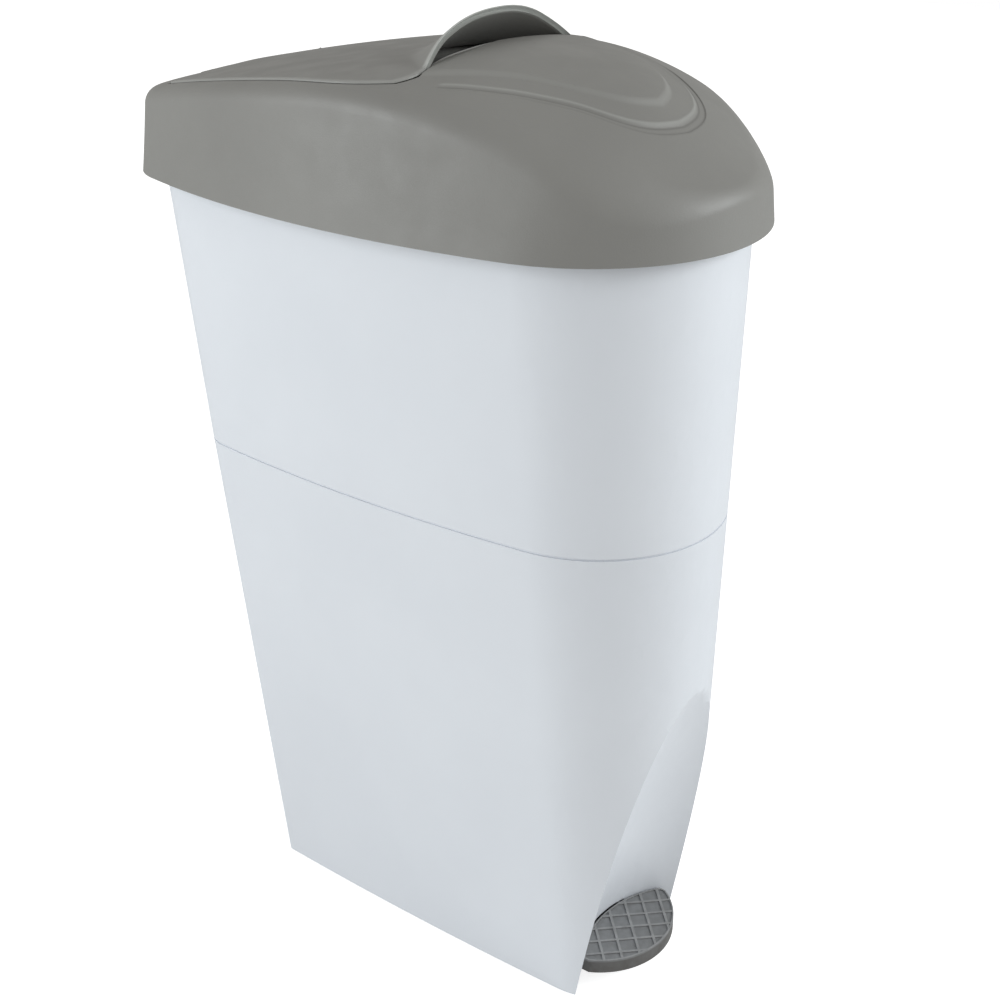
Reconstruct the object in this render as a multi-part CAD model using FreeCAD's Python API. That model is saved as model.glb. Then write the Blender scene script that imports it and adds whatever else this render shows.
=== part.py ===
"""Pedal trash can: a tall tapered casing with a flat back and a round nose, a lift-off cover with
a hinged flap, and a pedal in the nose that opens the flap through a lever and a push rod.

Millimetres, +Z up. The nose points to -Y. The origin is on the floor, at the middle of the cover."""
import FreeCAD, Part
import math
import os

os.makedirs("parts", exist_ok=True)
Vec = FreeCAD.Vector

# ---- driving dimensions ------------------------------------------------------------------
# Plan sections: y of the nose, y of the flat back, nose radius, half width, y of the widest
# place and radius of the back corners. The side is one long arc, tangent to both.
CASING_FOOT = (-177.0, 121.3, 56.9, 59.7, 7.7, 4.0)      # at the floor
CASING_RIM = (-185.2, 180.2, 92.7, 100.6, 10.9, 38.9)    # at the cover's lower edge
COVER_EDGE = (-196.0, 196.0, 105.4, 116.3, 10.9, 46.6)   # lower edge of the cover
COVER_TOP = (-190.0, 189.0, 88.0, 107.5, 20.0, 40.0)     # the cover's walls lean in to this

COVER_EDGE_Z = 500.0      # height of the cover's lower edge
COVER_TOP_Z = 580.0       # height of the section COVER_TOP
RIM_Z = 518.0             # top of the casing, inside the cover
SEAM_Z = 326.0            # middle of the groove between the two casings
SEAM_GAP = 1.4
FOOT_Z = 1.0              # the casing's lower edge stands this far off the floor
FLOOR_Z = 50.0            # underside of the lower casing's own floor
WALL = 2.5                # moulded wall

# Height of the cover's top along the middle, and how far it falls at 100 mm to the side.
RIDGE = ((-200, 525.0), (-180, 537.6), (-155, 556.0), (-130, 571.0), (-100, 581.0), (-65, 586.0),
         (-28, 586.0), (10, 580.5), (50, 575.5), (90, 569.7), (130, 562.5), (165, 555.0), (200, 546.5))
CROWN = ((-200, 30.0), (-180, 29.0), (-150, 26.0), (-110, 22.0), (-65, 16.0), (-28, 11.3), (10, 6.0),
         (60, 4.6), (200, 4.4))

FLAP_FRONT = -28.0        # the flap's front edge
FLAP_BACK = 158.5         # the flap's back edge
TONGUE_HALF = 48.5        # between the hinge ears the flap reaches back to the hinge axis
BARREL_R = 4.8            # roll along the flap's back edge, round the hinge pin
FLAP_INSET = 19.0         # width of the cover's top strip beside the flap
CORNER_IN = 10.0          # the flap's front corners are cut in this far
CORNER_LONG = 42.0        # over this length of its sides
SEAM = 1.0                # gap round the flap
BACK_SEAM = 2.6           # wider at the back, where the flap's edge swings past
LEDGE_DROP = 4.4          # the flap lies in a rebate this deep
FLAP_T = 2.6
HOOD_HALF = 66.0          # finger hood: half width, height and length
HOOD_HEIGHT = 21.0
HOOD_LENGTH = 54.0
HOOD_T = 3.0

# Cover: hinge ears, the trough between them, and the ribs that sit on the casing's rim
EAR_X = (49.5, 58.0)      # inner and outer face of an ear
EAR_DROP = 1.5            # the ears lie this far below the flap's top, to let it swing
TROUGH_BACK = 7.2         # room behind the hinge for the flap's edge as it swings
TROUGH_DEEP = 9.0         # below the hinge
RIB_YS = (-110, -30, 50, 130)
RIB_HALF = 1.2
RIB_REACH = 12.0          # how far a side rib runs up past the rim
STOP_GAP = 0.3
BUFFERS = ((-75, -23.8), (75, -23.8), (-92.5, 60), (92.5, 60))
BUFFER_R = 3.4
BUFFER_GAP = 0.35         # under the closed flap

# Mechanism
PIVOT = Vec(0, -40, 27)           # pedal axle
LINK_Y = 100.0                    # pin at the lever's rear end
PEDAL_TRAVEL = math.radians(6.0)
FLAP_TRAVEL = math.radians(66.0)
HINGE = Vec(0, 165, 549)          # flap hinge axis
AXLE_R = 3.0
HINGE_R = 2.0
HINGE_END = 60.0                  # half length of the hinge pin
CLIP_R = 3.0                      # outer radius of its clips
ROD_R = 3.0
ROD_SOCKET = 1.5                  # the rod starts this far down in its foot
ROD_FOOT_HALF = (9.5, 8.0)        # across and along
TIP_H = 6.0
TIP_R = 4.3
TIP_SLEEVE = 8.0                  # how far the tip's cap covers the rod
LUG_HALF = 7.0                    # half width of the flap's lug
LUG_ROUND = 3.2                   # its round end, which rides on the rod's tip
LUG_GAP = 0.4
RUNNING = 0.06                    # radial clearance of a pin that turns

# Pedal tread, a lens in plan
TREAD_TOP = 25.0
TREAD_H = 10.0
TREAD_TIP = -165.0
TREAD_HALF = 45.0
TREAD_SIDE_Y = -139.0
TREAD_GAP = 1.6                   # to the recess wall
TREAD_SKIN = 3.4
TREAD_RIM = 2.6
TREAD_PITCH = 17.0                # of the crossed ribs on top, and their width and height
TREAD_RIB = 1.7
TREAD_RIB_H = 0.7
TREAD_LIP = 1.0                   # narrow lip round the ribs
TREAD_SCREWS = ((-10, -142), (10, -142), (0, -131))
TREAD_SCREW_R = 1.4
RECESS_R = 80.0                   # plan radius of the foot recess
RECESS_LINE = ((0, -114.0), (60, -126.4), (120, -143.1), (170, -160.4), (200, -172.2), (240, -189.0))

# Lever and its bushes
LEVER_HALF = 18.0
LEVER_T = 3.0
LEVER_NOSE = -130.0               # middle of its round front end
LEVER_TAIL = 6.0                  # past the link pin
FLANGE_H = 14.0                   # of its turned-up sides, and their thickness and front end
FLANGE_W = 2.5
FLANGE_FRONT = -100.0
FORK_HALF = 11.0                  # half width of the fork at the rear and of the slot ahead of it
BUSH_R = 5.0
COLLAR_R = 7.5

# Feet, pivot bracket and screws
FEET = ((-40, -104), (40, -104), (-42, 100), (42, 100))
FOOT_POST_R = 9.0
FOOT_TOP = 4.0
FOOT_STEM_R = 3.5
FOOT_STEM_H = 9.0
SCREW_R = 2.0
HEAD_R = 3.8
HEAD_H = 2.4
BRACKET_SCREWS = ((-34, -52), (34, -52), (-34, -28), (34, -28))
BOSS_R = 5.0
BOSS_H = 6.0                      # blind bosses that the bracket's screws bite into
BRACKET_T = 3.0
BRACKET_HALF = (42.0, 20.0)       # across and along
BRACKET_EAR_R = 10.0
EAR_IN = 23.0                     # inner faces of the bracket's ears
ROD_PORT = 11.0                   # half width of the rod's port in the floor

# Rod guides and the channel that covers the rod
LOWER_GUIDE_Z = 150.0
UPPER_GUIDE_Z = 440.0
GUIDE_HALF = 12.0
GUIDE_FRONT = 7.0
GUIDE_SCREW_X = (-8.0, 8.0)
CHANNEL_LOW = FLOOR_Z + WALL + 0.5
CHANNEL_TOP = RIM_Z - 6
CHANNEL_HALF = 17.0
CHANNEL_T = 1.8
CHANNEL_FRONT = 10.5              # from the rod's middle to the channel's front

# Inner bucket and the ring that holds the bag
BUCKET_FOOT = (-94.0, 84.0, 40.0, 50.0, 5.0, 14.0)
BUCKET_RIM = (-178.0, 132.0, 84.0, 93.0, 9.0, 30.0)
BUCKET_LOW = FLOOR_Z + WALL + 6.0
BUCKET_T = 2.0
FLANGE_T = 2.4
RING_LIP = 1.6
RING_DROP = 10.0                  # how far its skirt hangs in the bucket
RING_WIDE = 2.7

# ---- worked out from them ----------------------------------------------------------------
LINK_ARM = LINK_Y - PIVOT.y
ROD_LIFT = LINK_ARM * math.sin(PEDAL_TRAVEL)
LUG_R = ROD_LIFT / (2 * math.sin(FLAP_TRAVEL / 2))       # flap lever that opens it in that lift
LUG = HINGE - Vec(0, LUG_R * math.cos(FLAP_TRAVEL / 2), LUG_R * math.sin(FLAP_TRAVEL / 2))
ROD_FOOT = Vec(0, LINK_Y, PIVOT.z)
ROD_DIR = (LUG - ROD_FOOT).normalize()
ROD_LOW = PIVOT.z + 6.0
TREAD_LOW = TREAD_TOP - TREAD_H
LEVER_Z = TREAD_TOP - TREAD_SKIN - LEVER_T               # underside of the lever's plate
AXLE_HALF = EAR_IN + BRACKET_T + 4.0
RIB_LOW = COVER_EDGE_Z + 3.0
REST_Z = RIM_Z + FLANGE_T + RING_LIP + STOP_GAP          # the side ribs rest here
FRONT_HALF = 97.0                                        # of the flap's outline at FLAP_FRONT
HOOD_XS = [-HOOD_HALF + 12 * i for i in range(12)]
HOOD_YS = [FLAP_FRONT + HOOD_LENGTH / 12 * i for i in range(13)]


def along_rod(z):
    """Point of the rod's axis at a height."""
    return ROD_FOOT + ROD_DIR * ((z - ROD_FOOT.z) / ROD_DIR.z)


def save(name, shape):
    shape.exportStep("parts/%s.step" % name)


def curve_at(points, at):
    """Smooth value between (place, value) pairs."""
    curve = Part.BSplineCurve()
    curve.interpolate([Vec(place, value, 0) for place, value in points])
    hit = curve.intersectCC(Part.LineSegment(Vec(at, -2000, 0), Vec(at, 2000, 0)))
    return hit[0].Y


def box(x, y, z):
    """Box from three (low, high) pairs."""
    return Part.makeBox(x[1] - x[0], y[1] - y[0], z[1] - z[0], Vec(x[0], y[0], z[0]))


def bar(start, end, radius):
    return Part.makeCylinder(radius, (end - start).Length, start, end - start)


def pan_screw(seat, direction, head_r, head_h, shank_r, length):
    """Pan-head screw whose head sits on seat; direction points from the head to the tip."""
    head = Part.makeCylinder(head_r, head_h, seat, direction * -1)
    edge = [e for e in head.Edges if abs(e.CenterOfMass.sub(seat + direction * -head_h).Length) < 1e-6]
    head = head.makeFillet(head_h * 0.6, edge)
    return head.fuse(Part.makeCylinder(shank_r, length, seat, direction)).removeSplitter()


# ---- plan outlines -----------------------------------------------------------------------
def plan_wire(section, inset, z):
    """Closed outline at height z, moved inwards by inset."""
    nose, rear, nose_r, half, wide_y, corner_r = section
    nose += inset
    rear -= inset
    nose_r -= inset
    half -= inset
    corner_r = max(corner_r - inset, 1.0)
    nose_y = nose + nose_r
    dy = wide_y - nose_y
    side_r = (nose_r ** 2 - half ** 2 - dy ** 2) / (2 * (nose_r - half))
    side_x = half - side_r
    low = math.atan2(nose_y - wide_y, -side_x)
    corner_y = rear - corner_r
    corner_x = side_x + math.sqrt((side_r - corner_r) ** 2 - (corner_y - wide_y) ** 2)
    high = math.atan2(corner_y - wide_y, corner_x - side_x)
    turn = (high + math.pi / 2) / 2

    def side(angle, sign):
        return Vec(sign * (side_x + side_r * math.cos(angle)), wide_y + side_r * math.sin(angle), z)

    def corner(angle, sign):
        return Vec(sign * (corner_x + corner_r * math.cos(angle)), corner_y + corner_r * math.sin(angle), z)

    edges = [Part.Arc(side(low, -1), Vec(0, nose, z), side(low, 1)),
             Part.Arc(side(low, 1), side((low + high) / 2, 1), side(high, 1)),
             Part.Arc(side(high, 1), corner(turn, 1), corner(math.pi / 2, 1)),
             Part.LineSegment(corner(math.pi / 2, 1), corner(math.pi / 2, -1)),
             Part.Arc(corner(math.pi / 2, -1), corner(turn, -1), side(high, -1)),
             Part.Arc(side(high, -1), side((low + high) / 2, -1), side(low, -1))]
    return Part.Wire([edge.toShape() for edge in edges])


def plan_prism(section, inset, z0, z1):
    return Part.Face(plan_wire(section, inset, z0)).extrude(Vec(0, 0, z1 - z0))


def between(low, high, share):
    return tuple(a + (b - a) * share for a, b in zip(low, high))


def casing_at(z):
    return between(CASING_FOOT, CASING_RIM, z / COVER_EDGE_Z)


def casing_solid(inset, z0, z1):
    return Part.makeLoft([plan_wire(casing_at(z), inset, z) for z in (z0, z1)], True, True)


def cover_solid(inset, z0, z1):
    wires = []
    for z in (z0, z1):
        share = (z - COVER_EDGE_Z) / (COVER_TOP_Z - COVER_EDGE_Z)
        wires.append(plan_wire(between(COVER_EDGE, COVER_TOP, share), inset, z))
    return Part.makeLoft(wires, True, True)


# ---- the cover's top surface -------------------------------------------------------------
def top_surface(rise, xs, ys, drop):
    """Face through the top's heights plus rise(x, y), lowered by drop."""
    grid = []
    for y in ys:
        ridge = curve_at(RIDGE, y)
        crown = curve_at(CROWN, y)
        grid.append([Vec(x, y, ridge - crown * (x / 100) ** 2 + rise(x, y) - drop) for x in xs])
    surface = Part.BSplineSurface()
    surface.interpolate(grid)
    return surface.toShape()


TOP_XS = [-130 + 26 * i for i in range(11)]
TOP_YS = [-198 + 18 * i for i in range(23)]


def above_top(drop):
    """Everything over the cover's top surface, lowered by drop."""
    face = top_surface(lambda x, y: 0.0, TOP_XS, TOP_YS, drop)
    return face.extrude(Vec(0, 0, 200))


def flap_prism(grow, z0, z1):
    """The flap's outline, grown sideways, between two heights."""
    outline = plan_prism(COVER_EDGE, FLAP_INSET - grow, z0, z1)
    back = FLAP_BACK + grow + (BACK_SEAM - SEAM if grow > 0 else 0)
    span = box((-150, 150), (FLAP_FRONT - grow, back), (z0, z1))
    for side in (-1, 1):
        corner = Vec(side * (FRONT_HALF - CORNER_IN + grow), FLAP_FRONT - grow, z0)
        end = Vec(side * (FRONT_HALF + grow + 1), FLAP_FRONT + CORNER_LONG, z0)
        ahead = Vec(corner.x, corner.y - 5, z0)
        outer = [Vec(side * 140, end.y, z0), Vec(side * 140, ahead.y, z0)]
        wedge = Part.Face(Part.makePolygon([corner, end] + outer + [ahead, corner]))
        span = span.cut(wedge.extrude(Vec(0, 0, z1 - z0)))
    tongue_back = HINGE.y + max(grow, 0) * 5
    tongue = box((-TONGUE_HALF - grow, TONGUE_HALF + grow), (FLAP_BACK - 10, tongue_back), (z0, z1))
    return outline.common(span.fuse(tongue))


# ---- lower casing ------------------------------------------------------------------------
def recess_tool(grow, z0=-5.0):
    """The foot recess: upright round sections whose back follows RECESS_LINE."""
    radius = RECESS_R + grow
    heights = [z0] + [z for z, _ in RECESS_LINE[1:]] + [252.0]
    wires = []
    for z in heights:
        back = curve_at([(-30.0, -108.5)] + list(RECESS_LINE) + [(270.0, -201.8)], z)
        wires.append(Part.Wire([Part.makeCircle(radius, Vec(0, back - RECESS_R, z))]))
    return Part.makeLoft(wires, True, False)


def lower_casing():
    top = SEAM_Z - SEAM_GAP / 2
    shell = casing_solid(0, FOOT_Z, top).cut(recess_tool(0))
    room_over = casing_solid(WALL, FLOOR_Z + WALL, top + 1)
    room_under = casing_solid(WALL, FOOT_Z - 1, FLOOR_Z)
    shell = shell.cut(room_over.fuse(room_under).cut(recess_tool(WALL)))
    # the lever passes under the recess wall
    under_wall = recess_tool(WALL + 0.5).common(casing_solid(WALL + 0.2, FOOT_Z - 1, 60))
    shell = shell.cut(under_wall.common(box((-60, 60), (-180, -90), (0, 12))))
    slot_half = LEVER_HALF + 3
    shell = shell.cut(box((-slot_half, slot_half), (-135, -105), (0, TREAD_TOP - 0.4)))
    for x, y in FEET:
        post = Part.makeCylinder(FOOT_POST_R, FLOOR_Z - FOOT_TOP + 0.5, Vec(x, y, FOOT_TOP))
        shell = shell.fuse(post.cut(Part.makeCylinder(FOOT_STEM_R, 12, Vec(x, y, FOOT_TOP))))
    for x, y in BRACKET_SCREWS:
        shell = shell.cut(Part.makeCylinder(SCREW_R, 30, Vec(x, y, FLOOR_Z - 10)))
        boss = Part.makeCylinder(BOSS_R, BOSS_H, Vec(x, y, FLOOR_Z + 1))
        shell = shell.fuse(boss.cut(Part.makeCylinder(SCREW_R, BOSS_H, Vec(x, y, FLOOR_Z))))
    # the rod's foot rises through the floor
    shell = shell.cut(box((-ROD_PORT, ROD_PORT), (LINK_Y - 9, LINK_Y + 12), (FLOOR_Z - 5, FLOOR_Z + 10)))
    for hole in rear_screw_holes(LOWER_GUIDE_Z):
        shell = shell.cut(hole)
    return shell.removeSplitter()


def rear_wall_y(z):
    """Outer face of the flat back at a height."""
    return casing_at(z)[1]


BACK_OUT = Vec(0, COVER_EDGE_Z, CASING_FOOT[1] - CASING_RIM[1]).normalize()   # out of the back wall


def guide_screw_seats(z):
    return [Vec(x, rear_wall_y(z), z) for x in GUIDE_SCREW_X]


def rear_screw_holes(z):
    return [Part.makeCylinder(SCREW_R, 8, seat - BACK_OUT * 6, BACK_OUT) for seat in guide_screw_seats(z)]


save("lower_casing", lower_casing())


# ---- upper casing ------------------------------------------------------------------------
def upper_casing():
    low = SEAM_Z + SEAM_GAP / 2
    shell = casing_solid(0, low, RIM_Z).cut(casing_solid(WALL, low - 1, RIM_Z + 1))
    lip_low = SEAM_Z - 14
    lip = casing_solid(WALL + 0.15, lip_low, low + 4).cut(casing_solid(WALL + 2.2, lip_low - 1, low + 5))
    step = casing_solid(0.9, low - SEAM_GAP + 0.05, low).cut(casing_solid(WALL + 2.2, low - 3, low + 1))
    shell = shell.fuse(lip).fuse(step)
    for hole in rear_screw_holes(UPPER_GUIDE_Z):
        shell = shell.cut(hole)
    return shell.removeSplitter()


save("upper_casing", upper_casing())


# ---- feet, bracket and axle --------------------------------------------------------------
def rubber_feet():
    feet = []
    for x, y in FEET:
        pad = Part.makeCone(7.0, 8.2, FOOT_TOP, Vec(x, y, 0))
        stem = Part.makeCylinder(FOOT_STEM_R, FOOT_STEM_H, Vec(x, y, FOOT_TOP))
        feet.append(pad.fuse(stem).removeSplitter())
    return Part.makeCompound(feet)


save("rubber_feet", rubber_feet())

def pivot_bracket():
    half_x, half_y = BRACKET_HALF
    plate = box((-half_x, half_x), (PIVOT.y - half_y, PIVOT.y + half_y), (FLOOR_Z - BRACKET_T, FLOOR_Z))
    for side in (-1, 1):
        ear_x = sorted((side * EAR_IN, side * (EAR_IN + BRACKET_T)))
        ear_y = (PIVOT.y - BRACKET_EAR_R, PIVOT.y + BRACKET_EAR_R)
        plate = plate.fuse(box(ear_x, ear_y, (PIVOT.z, FLOOR_Z - BRACKET_T + 0.5)))
        eye = bar(Vec(ear_x[0], PIVOT.y, PIVOT.z), Vec(ear_x[1], PIVOT.y, PIVOT.z), BRACKET_EAR_R)
        plate = plate.fuse(eye)
    plate = plate.cut(bar(Vec(-60, PIVOT.y, PIVOT.z), Vec(60, PIVOT.y, PIVOT.z), AXLE_R))
    for x, y in BRACKET_SCREWS:
        plate = plate.cut(Part.makeCylinder(SCREW_R, 10, Vec(x, y, FLOOR_Z - 8)))
    return plate.removeSplitter()


save("pivot_bracket", pivot_bracket())
save("bracket_screws", Part.makeCompound(
    [pan_screw(Vec(x, y, FLOOR_Z - BRACKET_T), Vec(0, 0, 1), HEAD_R, HEAD_H, SCREW_R, 8.5)
     for x, y in BRACKET_SCREWS]))

save("pedal_axle", bar(PIVOT + Vec(-AXLE_HALF, 0, 0), PIVOT + Vec(AXLE_HALF, 0, 0), AXLE_R))


def ring(centre, axis, inner, outer, width):
    return Part.makeCylinder(outer, width, centre, axis).cut(Part.makeCylinder(inner, width, centre, axis))


save("axle_clips", Part.makeCompound(
    [ring(PIVOT + Vec(side * (EAR_IN + BRACKET_T), 0, 0), Vec(side, 0, 0), AXLE_R, 6.5, 1.2)
     for side in (-1, 1)]))


# ---- rod guides, their screws and the channel over the rod ---------------------------------
def rod_guide(z):
    """Block on the back wall with a hole for the rod."""
    at = along_rod(z)
    block = box((-GUIDE_HALF, GUIDE_HALF), (at.y - GUIDE_FRONT, at.y + 60), (z - 6, z + 6))
    block = block.common(casing_solid(WALL, z - 20, z + 20))
    block = block.cut(bar(along_rod(z - 20), along_rod(z + 20), ROD_R + RUNNING))
    for seat in guide_screw_seats(z):
        block = block.cut(bar(seat - BACK_OUT * 16, seat, SCREW_R))
    return block


save("rod_guide_lower", rod_guide(LOWER_GUIDE_Z))
save("rod_guide_upper", rod_guide(UPPER_GUIDE_Z))
save("guide_screws", Part.makeCompound(
    [pan_screw(seat, BACK_OUT * -1, HEAD_R, HEAD_H, SCREW_R, 12)
     for z in (LOWER_GUIDE_Z, UPPER_GUIDE_Z) for seat in guide_screw_seats(z)]))

def channel_block(half, front, z0, z1):
    """Upright block that follows the rod, from front millimetres ahead of it to past the back wall."""
    wires = []
    for z in (z0, z1):
        y = along_rod(z).y - front
        corners = [Vec(-half, y, z), Vec(half, y, z), Vec(half, y + 80, z), Vec(-half, y + 80, z)]
        wires.append(Part.makePolygon(corners + corners[:1]))
    return Part.makeLoft(wires, True, True)


def rod_channel():
    outer = channel_block(CHANNEL_HALF, CHANNEL_FRONT, CHANNEL_LOW, CHANNEL_TOP)
    outer = outer.common(casing_solid(WALL + 2.3, CHANNEL_LOW, CHANNEL_TOP))
    inside = channel_block(CHANNEL_HALF - CHANNEL_T, CHANNEL_FRONT - CHANNEL_T,
                           CHANNEL_LOW - 5, CHANNEL_TOP + 5)
    return outer.cut(inside)


save("rod_channel", rod_channel())

# ---- inner bucket and bag ring -----------------------------------------------------------
def bucket_solid(inset, z0, z1):
    wires = []
    for z in (z0, z1):
        share = (z - BUCKET_LOW) / (RIM_Z - BUCKET_LOW)
        wires.append(plan_wire(between(BUCKET_FOOT, BUCKET_RIM, share), inset, z))
    return Part.makeLoft(wires, True, True)


def inner_bucket():
    shell = bucket_solid(0, BUCKET_LOW, RIM_Z + FLANGE_T)
    flange = plan_prism(casing_at(RIM_Z), -1.5, RIM_Z, RIM_Z + FLANGE_T)
    notch = box((-CHANNEL_HALF - 3, CHANNEL_HALF + 3), (along_rod(RIM_Z).y - 13, 250), (RIM_Z - 1, RIM_Z + 5))
    shell = shell.fuse(flange.cut(notch))
    return shell.cut(bucket_solid(BUCKET_T, BUCKET_LOW + BUCKET_T, RIM_Z + FLANGE_T + 1)).removeSplitter()


save("inner_bucket", inner_bucket())


def bag_ring():
    """Hoop that pins the bag: a skirt inside the bucket and a lip over its flange."""
    low = RIM_Z - RING_DROP
    flange_top = RIM_Z + FLANGE_T
    top = flange_top + RING_LIP
    hoop = bucket_solid(BUCKET_T + 0.3, low, flange_top + 0.5)
    hoop = hoop.fuse(plan_prism(BUCKET_RIM, -2.0, flange_top, top))
    return hoop.cut(plan_prism(BUCKET_RIM, BUCKET_T + 0.3 + RING_WIDE, low - 1, top + 1)).removeSplitter()


save("bag_ring", bag_ring())

# ---- pedal: tread, lever, bushes, link pin and screws --------------------------------------
def tread_lens(inset, z0, z1):
    """The lens: a round front edge and two short sides, cut off by the recess wall behind."""
    tip = Vec(0, TREAD_TIP + inset, z0)
    sides = [Vec(side * (TREAD_HALF - inset), TREAD_SIDE_Y, z0) for side in (1, -1)]
    back = [Vec(side * (TREAD_HALF - inset), -90, z0) for side in (1, -1)]
    edges = [Part.Arc(sides[1], tip, sides[0]), Part.LineSegment(sides[0], back[0]),
             Part.LineSegment(back[0], back[1]), Part.LineSegment(back[1], sides[1])]
    block = Part.Face(Part.Wire([edge.toShape() for edge in edges])).extrude(Vec(0, 0, z1 - z0))
    return block.common(recess_tool(-TREAD_GAP - inset))


def pedal_tread():
    tread = tread_lens(0, TREAD_LOW, TREAD_TOP)
    tread = tread.cut(tread_lens(TREAD_RIM, TREAD_LOW - 1, TREAD_TOP - TREAD_SKIN))
    lever_half = LEVER_HALF + 0.5
    tread = tread.cut(box((-lever_half, lever_half), (-128, -100), (0, TREAD_TOP - TREAD_SKIN)))
    ribs = []
    for k in range(-5, 6):
        for turn in (45, -45):
            rib = box((-70, 70), (-TREAD_RIB / 2, TREAD_RIB / 2), (-1, 2))
            rib.rotate(Vec(0, 0, 0), Vec(0, 0, 1), turn)
            rib.translate(Vec(k * TREAD_PITCH, TREAD_SCREWS[0][1], TREAD_TOP - TREAD_RIB_H))
            ribs.append(rib)
    sunk = tread_lens(TREAD_LIP, TREAD_TOP - TREAD_RIB_H, TREAD_TOP + 3)
    tread = tread.cut(sunk.cut(ribs[0].multiFuse(ribs[1:])))
    for x, y in TREAD_SCREWS:
        tread = tread.cut(Part.makeCylinder(TREAD_SCREW_R, 2.5, Vec(x, y, TREAD_TOP - TREAD_SKIN - 0.5)))
    return tread.removeSplitter()


save("pedal_tread", pedal_tread())


def pedal_lever():
    tail = LINK_Y + LEVER_TAIL
    plate = box((-LEVER_HALF, LEVER_HALF), (LEVER_NOSE, tail), (LEVER_Z, LEVER_Z + LEVER_T))
    lever = plate.fuse(Part.makeCylinder(LEVER_HALF, LEVER_T, Vec(0, LEVER_NOSE, LEVER_Z)))
    for side in (-1, 1):
        x = sorted((side * LEVER_HALF, side * (LEVER_HALF - FLANGE_W)))
        lever = lever.fuse(box(x, (FLANGE_FRONT, tail), (LEVER_Z, LEVER_Z + FLANGE_H)))
    # a slot that lightens the plate, and a fork round the rod's foot
    lever = lever.cut(box((-FORK_HALF, FORK_HALF), (PIVOT.y + 25, LINK_Y - 40), (0, 60)))
    lever = lever.cut(box((-FORK_HALF, FORK_HALF), (LINK_Y - 12, tail + 4), (0, 60)))
    across = Vec(LEVER_HALF + 10, 0, 0)
    lever = lever.cut(bar(PIVOT - across, PIVOT + across, BUSH_R))
    lever = lever.cut(bar(ROD_FOOT - across, ROD_FOOT + across, AXLE_R))
    for x, y in TREAD_SCREWS:
        lever = lever.cut(Part.makeCylinder(TREAD_SCREW_R + 0.2, 10, Vec(x, y, LEVER_Z - 1)))
    return lever.removeSplitter()


save("pedal_lever", pedal_lever())
save("tread_screws", Part.makeCompound(
    [pan_screw(Vec(x, y, LEVER_Z), Vec(0, 0, 1), 2.9, 1.8, TREAD_SCREW_R, LEVER_T + 1.9)
     for x, y in TREAD_SCREWS]))


def lever_bushes():
    """Plastic sleeves in the lever's flanges, with collars that fill the gap to the ears."""
    bushes = []
    for side in (-1, 1):
        axis = Vec(side, 0, 0)
        sleeve = ring(PIVOT + axis * (LEVER_HALF - 4), axis, AXLE_R + RUNNING, BUSH_R, 4)
        collar = ring(PIVOT + axis * LEVER_HALF, axis, AXLE_R + RUNNING, COLLAR_R, EAR_IN - LEVER_HALF - 0.3)
        bushes.append(sleeve.fuse(collar).removeSplitter())
    return Part.makeCompound(bushes)


save("lever_bushes", lever_bushes())
LINK_PIN_HALF = Vec(LEVER_HALF + 1.5, 0, 0)
save("link_pin", bar(ROD_FOOT - LINK_PIN_HALF, ROD_FOOT + LINK_PIN_HALF, AXLE_R))

# ---- push rod ------------------------------------------------------------------------------
def rod_foot():
    """Block on the rod's lower end, with a long slot for the link pin's small sweep."""
    half_x, half_y = ROD_FOOT_HALF
    block = box((-half_x, half_x), (LINK_Y - half_y, LINK_Y + half_y), (PIVOT.z - 6.5, ROD_LOW + 4.8))
    slot_y = (LINK_Y - half_y + 1.6, LINK_Y + half_y - 1.6)
    slot = box((-20, 20), slot_y, (PIVOT.z - AXLE_R - 0.2, PIVOT.z + AXLE_R + 0.2))
    socket = bar(along_rod(ROD_LOW - ROD_SOCKET), along_rod(ROD_LOW + 10), ROD_R)
    return block.cut(slot).cut(socket)


save("rod_foot", rod_foot())
TIP_AT = LUG - ROD_DIR * (LUG_ROUND + LUG_GAP + TIP_H)
save("push_rod", bar(along_rod(ROD_LOW - ROD_SOCKET), TIP_AT, ROD_R))


def rod_tip():
    """Plastic cap on the rod's upper end, rounded where the flap's lug rides on it."""
    end = TIP_AT + ROD_DIR * TIP_H
    cap = bar(TIP_AT - ROD_DIR * TIP_SLEEVE, end, TIP_R)
    edge = [e for e in cap.Edges if (e.CenterOfMass - end).Length < 0.01]
    cap = cap.makeFillet(2.0, edge)
    return cap.cut(bar(TIP_AT - ROD_DIR * (TIP_SLEEVE + 1), TIP_AT, ROD_R))


save("rod_tip", rod_tip())

# ---- cover ---------------------------------------------------------------------------------
def cover_ribs():
    """Ribs inside the skirt that centre the cover on the casing's rim and rest on it."""
    ribs = []
    reach = plan_prism(casing_at(RIM_Z), -2.6, RIB_LOW, REST_Z)
    for y in RIB_YS:
        for x in ((-150, -52.5), (52.5, 150)):
            ribs.append(box(x, (y - RIB_HALF, y + RIB_HALF), (RIB_LOW, REST_Z + RIB_REACH)))
    for x in (-55, 55):
        ribs.append(box((x - RIB_HALF, x + RIB_HALF), (150, 230), (RIB_LOW, REST_Z + RIB_REACH - 3)))
    ribs.append(box((-RIB_HALF, RIB_HALF), (-230, -150), (RIB_LOW, REST_Z + 2)))
    inner = plan_prism(casing_at(RIM_Z), 9.0, 0, 700)
    body = ribs[0].multiFuse(ribs[1:])
    return body.cut(reach).cut(inner).common(cover_solid(WALL - 0.3, RIB_LOW, COVER_TOP_Z))


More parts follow.
